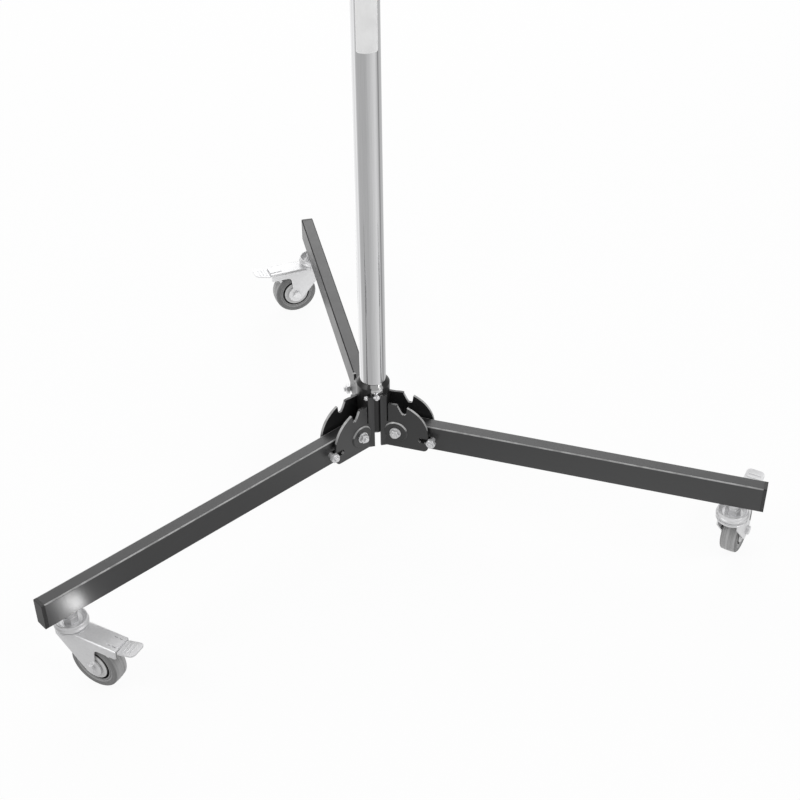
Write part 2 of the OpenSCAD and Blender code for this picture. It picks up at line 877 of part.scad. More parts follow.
// The hood's plan: a round front about the swivel axis and a square rear with eased corners
module fork_plan() {
    ease = 3;
    circle(r = 22.6);
    translate([0, -fork_w / 2])
        square([hood_l - ease, fork_w]);
    translate([0, -fork_w / 2 + ease])
        square([hood_l, fork_w - 2 * ease]);
    for (side = [-1, 1])
        translate([hood_l - ease, side * (fork_w / 2 - ease)])
            circle(r = ease);
}

// The fork: a pressed channel with the lower race on top, slots for the brake and holes
// for the kingpin, the axle and the brake's pin
module caster_fork(i) {
    flange_r = cup_d / 2 - 1.8;
    race_in = ball_ring_r + ball_d / 2 + run_gap;
    top_z = fork_top_z + flange_t + 1;
    // The raised pressing over the pedal's arm: its length, width and height
    panel = [21, 14, 0.9];
    panel_x = hood_l - panel[0];
    color(zinc)
        at_caster(i)
            difference() {
                union() {
                    intersection() {
                        translate([-40, 0, 0])
                            rotate([90, 0, 90])
                                linear_extrude(hood_l + 60)
                                    fork_section();
                        upright(-30, 60)
                            fork_side();
                        linear_extrude(top_z)
                            fork_plan();
                    }
                    // The raised pressing, open at the rear
                    upright(-panel[1] / 2, panel[1])
                        polygon([[panel_x, fork_top_z - eps],
                                 [panel_x + panel[2], fork_top_z + panel[2]],
                                 [hood_l, fork_top_z + panel[2]], [hood_l, fork_top_z - eps]]);
                    // The turned-out flange under the cup, with its rolled edge
                    difference() {
                        translate([0, 0, fork_top_z - fork_t])
                            rotate_extrude() {
                                square([flange_r, fork_t]);
                                translate([flange_r, fork_t / 2])
                                    circle(d = fork_t);
                                translate([race_in, fork_t])
                                    square([flange_r - race_in, flange_t]);
                            }
                    }
                }
                cylinder(h = top_z, d = kingpin_d + 2 * run_gap);
                translate([trail, 0, axle_z])
                    rotate([90, 0, 0])
                        cylinder(h = 60, d = axle_d + 2 * hole_gap, center = true);
                translate([brake_pin_x, 0, brake_pin_z])
                    rotate([90, 0, 0])
                        cylinder(h = 60, d = brake_pin_d + 2 * hole_gap, center = true);
                // Two short slits along each edge of the pressing
                for (side = [-1, 1], x = [panel_x + 4, panel_x + 12])
                    translate([x, side * (panel[1] / 2 + 0.9) - 0.5, fork_top_z - 2 * fork_t])
                        cube([5, 1, 4 * fork_t]);
            }
}

// The axle: a bolt with a low head and a hexagon nut
module caster_axle(i) {
    color(zinc)
        at_caster(i)
            translate([trail, 0, axle_z])
                through_bolt(axle_d, fork_w / 2 + fit_gap, 12, 4.5);
}

// The wheel's core: hub, dished web, and the rim under the tyre
module caster_wheel(i) {
    rim_out = tyre_bore / 2;
    rim_in = rim_out - 3;
    hub_half = fork_in - run_gap - 0.4;
    web_half = tyre_w / 2 - 5;
    color(rim_grey)
        at_caster(i)
            translate([trail, 0, axle_z])
                rotate([90, 0, 0])
                    rotate_extrude()
                        polygon([[hub_r + fit_gap, -hub_half], [hub_r + 3, -hub_half],
                                 [hub_r + 4, -web_half - 0.6], [rim_in - 3, -web_half],
                                 [rim_in, -web_half + 3], [rim_in, -tyre_w / 2 + 2],
                                 [rim_in + 1, -tyre_w / 2 + 1],
                                 [rim_out - 1, -tyre_w / 2 + 1], [rim_out, -tyre_w / 2 + 2],
                                 [rim_out, tyre_w / 2 - 2], [rim_out - 1, tyre_w / 2 - 1],
                                 [rim_in + 1, tyre_w / 2 - 1], [rim_in, tyre_w / 2 - 2],
                                 [rim_in, web_half - 3], [rim_in - 3, web_half],
                                 [hub_r + 4, web_half + 0.6],
                                 [hub_r + 3, hub_half], [hub_r + fit_gap, hub_half]]);
}

// The tyre: a rubber ring with a crowned tread and a step down to its bead
module caster_tyre(i) {
    r_in = tyre_bore / 2 + fit_gap;
    half = tyre_w / 2;
    shoulder = tyre_round;
    color(rubber_grey)
        at_caster(i)
            translate([trail, 0, axle_z])
                rotate([90, 0, 0])
                    rotate_extrude($fn = 96)
                        union() {
                            polygon([[r_in, -half + 1], [r_in + 2.5, -half],
                                     [wheel_r - shoulder, -half], [wheel_r - shoulder, half],
                                     [r_in + 2.5, half], [r_in, half - 1]]);
                            translate([wheel_r - shoulder - eps, -half + shoulder])
                                square([shoulder + eps, 2 * (half - shoulder)]);
                            for (side = [-1, 1])
                                translate([wheel_r - shoulder, side * (half - shoulder)])
                                    circle(r = shoulder);
                        }
}

// The plain bush between axle and core
module caster_bush(i) {
    half = fork_in - 0.3;
    color(steel_grey)
        at_caster(i)
            translate([trail, 0, axle_z])
                rotate([90, 0, 0])
                    translate([0, 0, -half])
                        difference() {
                            cylinder(h = 2 * half, r = hub_r);
                            translate([0, 0, -1])
                                cylinder(h = 2 * half + 2, d = axle_d + 2 * hole_gap);
                        }
}

// The brake pedal: a ribbed tread behind the hood, an arm under it, an eye on its pin and a
// nose that bears on the tyre when the tread is pressed down
module brake_pedal(i) {
    arm_w = 2 * fork_in - 4;
    sheet = 2.4;
    tread_x = hood_l + 2.2;
    tread_z = fork_top_z - fork_t - run_gap - sheet;
    tread_end = tread_x + pedal_l;
    corner = 7;
    eye_r = pin_drop - fork_t - run_gap;
    nose_r = 2.6;
    // Pressed, the nose lies between the axle and the pin; at rest it is turned away
    to_axle = [trail - brake_pin_x, axle_z - brake_pin_z];
    nose_l = norm(to_axle) - wheel_r - brake_gap - nose_r;
    nose_a = atan2(to_axle[1], to_axle[0]) + pedal_angle;
    nose = [brake_pin_x, brake_pin_z] + nose_l * [cos(nose_a), sin(nose_a)];
    color(zinc)
        at_caster(i)
            difference() {
                union() {
                    // The tread, seen from above
                    translate([0, 0, tread_z])
                        linear_extrude(sheet)
                            union() {
                                translate([tread_x, -pedal_w / 2])
                                    square([pedal_l - corner, pedal_w]);
                                translate([tread_x, -pedal_w / 2 + corner])
                                    square([pedal_l, pedal_w - 2 * corner]);
                                for (side = [-1, 1])
                                    translate([tread_end - corner, side * (pedal_w / 2 - corner)])
                                        circle(r = corner);
                            }
                    // Three cross ribs
                    for (k = [0:2])
                        translate([tread_x + 5 + k * (pedal_l - 12) / 2.4, 0, tread_z + sheet - 0.5])
                            rotate([90, 0, 0])
                                cylinder(h = pedal_w - 8, r = 1.2, center = true);
                    // The arm under the hood
                    translate([brake_pin_x, -arm_w / 2, tread_z])
                        cube([tread_x - brake_pin_x + 1, arm_w, sheet]);
                    // The eye and the nose
                    upright(-arm_w / 2, arm_w) {
                        translate([brake_pin_x, brake_pin_z])
                            circle(r = eye_r);
                        translate(nose)
                            circle(r = nose_r);
                        translate([brake_pin_x, brake_pin_z])
                            rotate(atan2(nose[1] - brake_pin_z, nose[0] - brake_pin_x))
                                translate([0, -nose_r])
                                    square([norm(nose - [brake_pin_x, brake_pin_z]), 2 * nose_r]);
                    }
                }
                translate([brake_pin_x, 0, brake_pin_z])
                    rotate([90, 0, 0])
                        cylinder(h = 60, d = brake_pin_d + 2 * hole_gap, center = true);
            }
}

// The pin that the pedal turns on, ground flush with the fork's sides
module brake_pin(i) {
    color(zinc)
        at_caster(i)
            translate([brake_pin_x, 0, brake_pin_z])
                rotate([90, 0, 0])
                    cylinder(h = fork_w, d = brake_pin_d, center = true);
}

// The assembly

base_column();
hub_sleeve();
pivot_bolts();
pivot_sleeves();
collar_1();
knob_1();
riser_1();
collar_2();
knob_2();
riser_2();
spigot();
for (i = [0:2]) {
    hinge_plate_a(i);
    hinge_plate_b(i);
    leg_tube(i);
    leg_cap(i);
    lock_bolt(i);
    lock_spring(i);
    caster_cup(i);
    caster_kingpin(i);
    caster_balls(i);
    caster_fork(i);
    caster_axle(i);
    caster_wheel(i);
    caster_tyre(i);
    caster_bush(i);
    brake_pedal(i);
    brake_pin(i);
}
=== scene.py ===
# %% [markdown]
# # A wheeled light stand
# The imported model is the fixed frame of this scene: its solids hold the real sizes, and
# every piece made here rides on one of its bodies. The stand is a chrome column on three
# black box-tube legs with braked swivel casters. Each cell below takes one piece or one
# finish, says what it is on the real object, and makes it.

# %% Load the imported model
import json
import math

import bmesh
import bpy
from mathutils import Matrix, Vector
from mathutils import noise as random_field


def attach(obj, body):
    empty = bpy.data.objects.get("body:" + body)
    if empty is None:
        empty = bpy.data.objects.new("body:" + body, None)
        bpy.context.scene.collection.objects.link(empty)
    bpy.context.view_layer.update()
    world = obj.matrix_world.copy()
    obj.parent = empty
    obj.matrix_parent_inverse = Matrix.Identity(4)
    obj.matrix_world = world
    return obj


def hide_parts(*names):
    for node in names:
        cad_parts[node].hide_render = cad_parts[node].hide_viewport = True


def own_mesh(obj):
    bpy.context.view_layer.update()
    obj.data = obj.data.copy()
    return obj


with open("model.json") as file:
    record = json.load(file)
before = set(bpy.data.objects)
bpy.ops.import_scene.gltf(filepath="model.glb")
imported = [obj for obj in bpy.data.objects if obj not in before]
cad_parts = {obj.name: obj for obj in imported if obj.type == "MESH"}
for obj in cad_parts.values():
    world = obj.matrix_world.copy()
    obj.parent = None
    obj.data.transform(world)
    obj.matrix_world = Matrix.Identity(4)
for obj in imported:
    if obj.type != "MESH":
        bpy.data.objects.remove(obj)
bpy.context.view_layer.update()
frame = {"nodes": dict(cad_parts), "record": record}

nodes = frame["nodes"]
BODY_OF = {node: body for body, members in frame["record"]["behaviour"]["bodies"].items()
           for node in members}
bpy.context.scene.view_settings.view_transform = "Standard"

# %% [markdown]
# The sizes are the CAD model's own, in millimetres, so that what is added sits on the
# solids. A piece is drawn in the frame of what carries it: the leg's frame has x along the
# leg from the column's axis, and the caster's frame has x along the trail.

# %% Sizes and frames
MM = 0.001
SIDES = ("left", "right", "rear")
LEG_AZIMUTH = {"left": 210, "right": 330, "rear": 90}
CASTER_HEADING = {"left": 109, "right": 78, "rear": 98.7}
LEG_W, LEG_H, LEG_TOP = 20, 41.5, 153
CASTER_REACH, FORK_TOP, TRAIL, WHEEL_R = 535, 86.5, 37, 37.5


def turn(degrees, axis="Z"):
    return Matrix.Rotation(math.radians(degrees), 4, axis)


def leg_frame(side):
    return turn(LEG_AZIMUTH[side])


def caster_frame(side):
    return (leg_frame(side) @ Matrix.Translation((CASTER_REACH * MM, 0, 0))
            @ turn(CASTER_HEADING[side]))


def wheel_frame(side):
    """The wheel's axis along z."""
    return (caster_frame(side) @ Matrix.Translation(Vector((TRAIL, 0, WHEEL_R)) * MM)
            @ turn(90, "X"))


print("left caster stands at", [round(v, 3) for v in caster_frame("left").translation])

# %% [markdown]
# The camera looks down at the hub from the front. Its place, tilt and lens come from the
# picture's own vanishing lines, worked out from the legs' edges and the column.

# %% Camera
TILT_DOWN = math.radians(37.5216)
ROLL = math.radians(-0.46234)
FOCAL_PIXELS = 1473.18
EYE = (0.0392034, -1.7207786, 1.4968978)
PICTURE = 800
SENSOR = 36

ahead = Vector((0, math.cos(TILT_DOWN), -math.sin(TILT_DOWN)))
level = Vector((1, 0, 0))
upward = level.cross(ahead)
across = math.cos(ROLL) * level + math.sin(ROLL) * upward
above = -math.sin(ROLL) * level + math.cos(ROLL) * upward
facing = Matrix((across, above, -ahead)).transposed().to_4x4()
VIEW_TURN = turn(-12.4732)
camera = bpy.data.objects.new("camera", bpy.data.cameras.new("camera"))
bpy.context.scene.collection.objects.link(camera)
camera.matrix_world = VIEW_TURN @ Matrix.Translation(EYE) @ facing
camera.data.sensor_width = SENSOR
camera.data.lens = FOCAL_PIXELS * SENSOR / PICTURE
bpy.context.scene.camera = camera
print("lens", round(camera.data.lens, 2), "mm")

# %% [markdown]
# A finish is a material whose nodes are written as sums. `Wire` wraps one socket and
# overloads the operators, so `1 - mask` or `0.3 + 0.1 * grain` add their Math nodes.
# `Finish.node` makes any other node from its type, its settings and its inputs.

# %% Sums of sockets
class Wire:
    """One output socket of a finish, which works in Python sums."""

    def __init__(self, finish, socket):
        self.finish = finish
        self.socket = socket

    def math(self, operation, first, second):
        return self.finish.node("ShaderNodeMath", {"operation": operation},
                                {0: first, 1: second})

    def __add__(self, other):
        return self.math("ADD", self, other)

    def __mul__(self, other):
        return self.math("MULTIPLY", self, other)

    def __sub__(self, other):
        return self.math("SUBTRACT", self, other)

    def __rsub__(self, other):
        return self.math("SUBTRACT", other, self)

    def step(self, low, high):
        """0 below low, 1 above high, and a soft rise between them."""
        return self.finish.node("ShaderNodeMapRange", {"interpolation_type": "SMOOTHSTEP"},
                                {0: self, 1: low, 2: high})

    __radd__ = __add__
    __rmul__ = __mul__


print("sums of sockets: + - * and step")

# %% [markdown]
# `Finish` holds one material. It knows where a point is on the piece, how far it is from the
# piece's axis and which way it faces, since wear, dust and moulding all depend on those.

# %% One method for any node
class Finish:
    """A material, with one method that adds any node."""

    def __init__(self, name):
        self.material = bpy.data.materials.new(name)
        self.material.use_nodes = True
        self.tree = self.material.node_tree
        self.shader = self.tree.nodes["Principled BSDF"]

    def feed(self, socket, value):
        if isinstance(value, Wire):
            self.tree.links.new(value.socket, socket)
        else:
            socket.default_value = value

    def node(self, kind, settings=None, inputs=None, output=0):
        made = self.tree.nodes.new(kind)
        for key, value in (settings or {}).items():
            if key == "stops":
                ramp = made.color_ramp.elements
                while len(ramp) < len(value):
                    ramp.new(1)
                for stop, (position, level) in zip(ramp, value):
                    stop.position = position
                    stop.color = (level, level, level, 1)
            else:
                setattr(made, key, value)
        for key, value in (inputs or {}).items():
            self.feed(made.inputs[key], value)
        return Wire(self, made.outputs[output])

    def place(self, stretch=(1, 1, 1)):
        """Where a point is on the object, in metres, stretched along each axis."""
        point = self.node("ShaderNodeTexCoord", output="Object")
        return self.node("ShaderNodeVectorMath", {"operation": "MULTIPLY"},
                         {0: point, 1: stretch})

    def grain(self, size, detail=2, stretch=(1, 1, 1)):
        """Noise from 0 to 1 whose spots are about `size` metres wide."""
        return self.node("ShaderNodeTexNoise", None,
                         {"Vector": self.place(stretch), "Scale": 1 / size, "Detail": detail})

    def radius(self):
        """The distance from the piece's own z axis, in metres."""
        return self.node("ShaderNodeVectorMath", {"operation": "LENGTH"},
                         {0: self.place((1, 1, 0))}, 1)

    def upward(self):
        """1 where the surface faces up, 0 on a wall and -1 underneath."""
        normal = self.node("ShaderNodeNewGeometry", output="Normal")
        return self.node("ShaderNodeSeparateXYZ", None, {0: normal}, 2)

    def colours(self, mask, low, high):
        return self.node("ShaderNodeMix", {"data_type": "RGBA"}, {0: mask, 6: low, 7: high}, 2)

    def bump(self, height, depth):
        """A normal from heights between 0 and 1, `depth` metres apart."""
        return self.node("ShaderNodeBump", None, {"Height": height, "Distance": depth,
                                                  "Strength": 1})

    def set(self, **sockets):
        for name, value in sockets.items():
            self.feed(self.shader.inputs[name.replace("_", " ")], value)
        return self.material


def grey(value, blue=1.0):
    """A grey, a little bluer where `blue` is over 1."""
    return (value, value, value * blue, 1)


print("one class for every finish")

# %% [markdown]
# The legs and the hinge plates are powder coated: a satin black with the faint dimples of
# the baked powder. The dimples are a bump about 0.01 mm deep, and the gloss wanders a
# little between them, which is what breaks up a broad reflection on the real tube. Along
# its upper edges a highlight is painted into the colour, uneven in patches: that is a finish
# of its own. On the rear leg the edges get painted shade instead: a darker, duller coat.

# %% Black powder coat
DIMPLE_DEPTH = 0.000012


def powder_coat(name, base, gloss, shine=0.7):
    """Dimpled black with a drift in its gloss and a few pale specks of dust."""
    coat = Finish(name)
    dimples = coat.grain(0.0011, 2)
    drift = coat.grain(0.03, 3)
    dust = coat.grain(0.0004, 1).step(0.66, 0.8)
    return coat.set(
        Base_Color=coat.colours(dust * 0.3 + drift * 0.25, grey(base, 1.04),
                                grey(base * 2.2, 1.02)),
        Roughness=gloss + 0.12 * drift + 0.05 * dimples,
        Normal=coat.bump(dimples, DIMPLE_DEPTH),
        Specular_IOR_Level=shine,
    )


def painted_edge_highlight(name, base, bright):
    """The coat on an edge, with a highlight painted into its colour: faint on every edge, strong
    where it faces up, uneven in patches.
    """
    coat = Finish(name)
    patches = coat.grain(0.012, 3)
    # Painted highlight: faint on every edge, strong where the edge faces up, uneven in patches
    highlight_mask = 0.12 + 0.88 * coat.upward().step(0.05, 0.5) * (0.6 + 0.4 * patches.step(0.35, 0.6))
    return coat.set(Base_Color=coat.colours(highlight_mask, grey(base), grey(bright)),
                    Roughness=0.34 - 0.06 * patches)


black_legs = powder_coat("black_powder_coat", 0.018, 0.30)
black_hub = powder_coat("black_hub_coat", 0.016, 0.30)
# The rear leg's edges are darker and shine less, so they show as a dark line: the darker colour
# is painted shade
rear_edge_shade = powder_coat("rear_leg_edge_shade", 0.012, 0.42, 0.2)
leg_edge_highlight = painted_edge_highlight("leg_edge_highlight", 0.02, 0.42)
hub_edge_highlight = painted_edge_highlight("hub_edge_highlight", 0.02, 0.50)
print("made", black_legs.name, black_hub.name, leg_edge_highlight.name, hub_edge_highlight.name)

# %% [markdown]
# Chrome reflects a little more than half of the light, evenly over the colours. The drawn
# tube under it leaves long faint lines, so the noise is stretched along the column.

# %% Chrome
chrome_finish = Finish("chrome")
draw_lines = chrome_finish.grain(0.0012, 3, (1, 1, 0.02))
smears = chrome_finish.grain(0.05, 3)
chrome = chrome_finish.set(
    Base_Color=chrome_finish.colours(draw_lines, grey(0.56, 1.01), grey(0.66, 1.01)),
    Metallic=1.0,
    Roughness=0.045 + 0.05 * smears.step(0.45, 0.8) + 0.03 * draw_lines,
    Normal=chrome_finish.bump(draw_lines, 0.000003),
)
print("made", chrome.name)

# %% [markdown]
# The sleeve at the column's foot is chromed too, and black coat covers it wherever the
# plates are near. Bright metal is left in front, above the two strips, with a ragged edge.
# A mask from the place on the sleeve chooses between the two.

# %% Sleeve
# Where the bare patch begins and ends, in metres: each pair is one soft border
BARE_MIDDLE = 0.001
BARE_HALF_WIDTH = (0.0075, 0.0095)
BARE_FRONT = (-0.016, -0.012)
BARE_FOOT = (0.1985, 0.2005)
RAGGED = 0.006


def sleeve_coat():
    """Black coat, with the chrome left bare in front near the sleeve's top."""
    coat = Finish("sleeve_coat")
    x, y, z = [coat.node("ShaderNodeSeparateXYZ", None, {0: coat.place()}, axis)
               for axis in range(3)]
    ragged = RAGGED * (coat.grain(0.004, 3) - 0.5)
    sideways = coat.node("ShaderNodeMath", {"operation": "ABSOLUTE"}, {0: x - BARE_MIDDLE})
    front = (1 - (sideways + ragged).step(*BARE_HALF_WIDTH)) * (1 - y.step(*BARE_FRONT))
    bare = front * (z + ragged).step(*BARE_FOOT)
    return coat.set(Base_Color=coat.colours(bare, grey(0.012), grey(0.62)),
                    Metallic=bare, Roughness=0.30 - 0.18 * bare, Specular_IOR_Level=0.45,
                    Normal=coat.bump(coat.grain(0.0011, 2), DIMPLE_DEPTH))


sleeve_finish = sleeve_coat()
print("made", sleeve_finish.name)

# %% [markdown]
# Bolts and casters are bright zinc plated. Plating is softer than chrome: its gloss varies
# in cloudy patches, and rolled sheet keeps a fine grain. The casters' plating is duller and
# more mottled than the bolts', so both their metal and their clouds differ.

# %% Zinc plating
def plating(name, base, gloss, patch=0.006, metal=0.85, dull=0.94):
    """Grey metal in clouds `patch` metres wide, which are `dull` times as pale as the rest."""
    zinc = Finish(name)
    clouds = zinc.grain(patch, 3)
    grit = zinc.grain(0.0005, 2)
    return zinc.set(
        Base_Color=zinc.colours(clouds, grey(base * dull, 1.01), grey(base, 1.01)),
        Metallic=metal,
        Roughness=gloss + 0.06 * clouds.step(0.35, 0.7) + 0.04 * grit,
        Normal=zinc.bump(grit, 0.000002),
    )


zinc_bolts = plating("zinc_bolts", 0.80, 0.42, patch=0.003, metal=0.65)
zinc_casters = plating("zinc_casters", 0.82, 0.40, patch=0.004, metal=0.5, dull=0.84)
dull_steel = plating("dull_steel", 0.50, 0.34)
weld_metal = plating("weld_metal", 0.80, 0.30, patch=0.002)
print("made", zinc_bolts.name, zinc_casters.name, dull_steel.name, weld_metal.name)

# %% [markdown]
# The tyres are grey thermoplastic rubber: matt, with a slightly polished tread where they
# have rolled. The core is pale plastic. Both are turned shapes, so the distance from the
# axle tells bead from wall and face from groove, and no image has to be painted. The core's
# groove is coloured near black: that is painted shade.

# %% Tyre and core
# Distances from the axle in metres: each pair is one soft border
BEAD_EDGE, SHOULDER = (0.0290, 0.0294), (0.0362, 0.0370)
GROOVE_EDGE, RIM_EDGE = (0.0211, 0.0215), (0.0240, 0.0243)


def tyre_finish():
    """Dark sidewalls, a paler bead, and a tread with scuffed lines round it."""
    rubber = Finish("tyre_rubber")
    radius = rubber.radius()
    bead = 1 - radius.step(*BEAD_EDGE)
    tread = radius.step(*SHOULDER)
    scuffs = rubber.grain(0.0016, 3, (0.02, 0.02, 1))
    cells = rubber.grain(0.0007, 2)
    wall = rubber.colours(bead, grey(0.21), grey(0.38))
    worn = rubber.colours(scuffs.step(0.3, 0.7), grey(0.30), grey(0.48))
    return rubber.set(Base_Color=rubber.colours(tread, wall, worn),
                      Roughness=0.56 + 0.1 * cells - 0.08 * tread,
                      Normal=rubber.bump(cells * 0.5 + scuffs * 0.5, 0.00003))


def core_finish():
    """Pale plastic with painted shade, near black, in the deep groove near the rim, and the rim
    itself darker grey.
    """
    plastic = Finish("core_plastic")
    radius = plastic.radius()
    # Painted shade: the groove is coloured near black
    groove = radius.step(*GROOVE_EDGE)
    rim = radius.step(*RIM_EDGE)
    cells = plastic.grain(0.0008, 2)
    drift = plastic.grain(0.012, 2)
    face = plastic.colours(drift, grey(0.62), grey(0.70))
    return plastic.set(
        Base_Color=plastic.colours(rim, plastic.colours(groove, face, grey(0.006)), grey(0.28)),
        Roughness=0.40 + 0.1 * cells, Normal=plastic.bump(cells, 0.00001))


tyre_rubber = tyre_finish()
core_plastic = core_finish()
print("made", tyre_rubber.name, core_plastic.name)

# %% [markdown]
# The label is smooth vinyl, the end caps are smooth black plastic, and the knobs are black
# nylon with a spark-eroded grain. One recipe makes all three, with its grain's size and depth.
# The cast collars are powder coated like the legs, a little duller.

# %% Plastics and vinyl
def moulding(name, base, gloss, size, depth):
    plastic = Finish(name)
    cells = plastic.grain(size, 2)
    drift = plastic.grain(0.02, 3)
    return plastic.set(
        Base_Color=plastic.colours(drift, grey(base * 0.88), grey(base * 1.12)),
        Roughness=gloss + 0.1 * drift + 0.06 * cells,
        Normal=plastic.bump(cells, depth),
    )


knob_nylon = moulding("knob_nylon", 0.018, 0.38, 0.0006, 0.00002)
cap_plastic = moulding("cap_plastic", 0.02, 0.34, 0.0006, 0.00001)
label_vinyl = moulding("label_vinyl", 0.88, 0.38, 0.0009, 0.000004)
collar_coat = powder_coat("collar_coat", 0.018, 0.36)
print("made", knob_nylon.name, cap_plastic.name, label_vinyl.name, collar_coat.name)

# %% [markdown]
# The floor is a plain white sweep. It is lit like the stand, so it holds the soft shadow
# under each leg, and where rays of the camera or of a reflection meet it, most of its white
# is its own, so that it stays white. A chrome tube that is seen from above mirrors nothing
# but the floor all round it. On a real studio floor the light falls unevenly, and that light
# is painted into the white that reflections meet: a ramp over the angle round the column,
# brightest at the left behind the stand, duller in front of it, and a painted dark band at
# the right.

# %% Floor
FLOOR_HALF = 12.0
OWN_SHARE = 0.93  # of the floor's white that cameras and reflections see


def sheet(name, half):
    """A square face on the floor's plane."""
    mesh = bpy.data.meshes.new(name)
    mesh.from_pydata([(-half, -half, 0), (half, -half, 0), (half, half, 0), (-half, half, 0)],
                     [], [(0, 1, 2, 3)])
    made = bpy.data.objects.new(name, mesh)
    bpy.context.scene.collection.objects.link(made)
    return made


floor_finish = Finish("white_floor")
paths = floor_finish.tree.nodes.new("ShaderNodeLightPath").outputs
by_camera, by_gloss, by_glass = [Wire(floor_finish, paths[name]) for name in
                                 ("Is Camera Ray", "Is Glossy Ray", "Is Transmission Ray")]
round_column = floor_finish.node("ShaderNodeTexGradient", {"gradient_type": "RADIAL"},
                                 {"Vector": floor_finish.place()}, 1)
# The floor's painted light that glossy reflections see, by the compass angle round the column,
# from -X round by -Y
FLOOR_PAINTED_LIGHT = [(-180, 0.64), (-113, 0.62), (-101, 0.68), (-70, 0.85), (-41, 1.04), (-25, 0.95),
                (-10, 0.66), (0, 0.24), (10, 0.68), (75, 0.72), (81, 1.30), (136, 1.30),
                (143, 1.10), (150, 1.30), (163, 1.30), (172, 0.72)]
painted_floor_light = floor_finish.node("ShaderNodeValToRGB", {"stops": [
    (angle / 360 + 0.5, white) for angle, white in FLOOR_PAINTED_LIGHT]}, {0: round_column})
own_white = floor_finish.node("ShaderNodeEmission", None, {
    "Color": floor_finish.colours(by_gloss, grey(1.0), painted_floor_light), "Strength": 1.0})
lit_white = floor_finish.node("ShaderNodeBsdfDiffuse", None, {"Color": grey(0.82)})
floor_mix = floor_finish.node("ShaderNodeMixShader", None,
                              {0: (by_camera + by_gloss + by_glass) * OWN_SHARE,
                               1: lit_white, 2: own_white})
floor_finish.feed(floor_finish.tree.nodes["Material Output"].inputs["Surface"], floor_mix)
floor = sheet("floor", FLOOR_HALF)
floor.data.materials.append(floor_finish.material)
print("floor", 2 * FLOOR_HALF, "m wide")

# %% [markdown]
# The room is pale all round. The camera sees it as pure white, but it lights the stand with
# only about half of that, so that pale plating doesn't clip.

# %% Room
ROOM_LEVEL = 0.48
world = bpy.data.worlds.new("pale_room")
bpy.context.scene.world = world
world.use_nodes = True
world_nodes = world.node_tree.nodes
world_nodes["Background"].inputs["Color"].default_value = grey(1.0)
room_level = world_nodes.new("ShaderNodeMapRange")
room_level.inputs["To Min"].default_value = ROOM_LEVEL
room_level.inputs["To Max"].default_value = 1.0
seen_by = world_nodes.new("ShaderNodeLightPath")
world.node_tree.links.new(seen_by.outputs["Is Camera Ray"], room_level.inputs["Value"])
world.node_tree.links.new(room_level.outputs["Result"],
                          world_nodes["Background"].inputs["Strength"])
print("room level", ROOM_LEVEL)

# %% [markdown]
# Four soft boxes light the stand. Two stand behind, one over the other, and the tops of the
# satin legs mirror them. A small one on each side of the camera draws the bright line along
# the upper edges. All four face the hub.

# %% Soft boxes
def soft_box(name, place, target, size, power):
    lamp = bpy.data.lights.new(name, "AREA")
    lamp.shape = "RECTANGLE"
    lamp.size, lamp.size_y = size
    lamp.energy = power
    made = bpy.data.objects.new(name, lamp)
    bpy.context.scene.collection.objects.link(made)
    made.location = place
    made.rotation_euler = (Vector(target) - Vector(place)).to_track_quat("-Z", "Y").to_euler()
    return made


# Where each box stands in the picture's frame, its size in metres and its power
BOXES = {
    "low_back_box": ((-0.02, 2.9, 1.45), (3.2, 0.8), 21),
    "high_back_box": ((-0.3, 2.8, 2.75), (5.0, 1.5), 35),
    "right_box": ((1.65, -0.88, 1.96), (1.2, 0.5), 17),
    "left_box": ((-1.74, -0.85, 1.89), (1.2, 0.5), 17),
}
HUB_CENTRE = (0, 0, 0.15)
for name, (place, size, power) in BOXES.items():
    soft_box(name, VIEW_TURN @ Vector(place), HUB_CENTRE, size, power)
print("boxes:", ", ".join(BOXES))

# %% [markdown]
# Every solid of the frame gets a finish first. A solid whose shape is right keeps its own
# mesh; the rest are replaced further down.

# %% Finishes of the solids
FINISH_OF = {
    "base_column": chrome, "riser": chrome, "spigot": zinc_bolts, "hub_sleeve": sleeve_finish,
    "hinge_plate": black_hub, "pivot_bolts": zinc_bolts, "pivot_sleeves": dull_steel,
    "leg_tube": black_legs, "leg_cap": cap_plastic, "lock_bolt": zinc_bolts,
    "lock_spring": dull_steel, "caster_cup": zinc_casters, "caster_kingpin": zinc_bolts,
    "caster_balls": dull_steel, "caster_fork": zinc_casters, "caster_axle": zinc_bolts,
    "caster_wheel": core_plastic, "caster_tyre": tyre_rubber, "caster_bush": dull_steel,
    "brake_pedal": zinc_casters, "brake_pin": zinc_bolts, "collar": collar_coat,
    "knob": knob_nylon,
}


def finish_of(name):
    return next(FINISH_OF[start] for start in FINISH_OF if name.startswith(start))


for name, node in nodes.items():
    node.data.materials.clear()
    node.data.materials.append(finish_of(name))
print("finished", len(nodes), "solids")

# %% [markdown]
# Real edges are never quite sharp, and the small round on them is what catches the light.
# The solids have exact, sharp edges, so each one that shows is copied, and its flat faces are
# joined up again before its edges are rounded. The copy then stands for the solid.

# %% Copies that stand for solids
SLOT_OF = {part["node"]: part["material_slot"] for part in frame["record"]["subparts"]}
WELD_DISTANCE = 1e-6
FLAT_WITHIN = math.radians(0.8)
# Sloping faces get the edge finish, whose colour is a painted highlight, or painted shade on the
# rear leg
SLOPES = (0.2, 0.98)  # how far up a face points that gets the edge finish


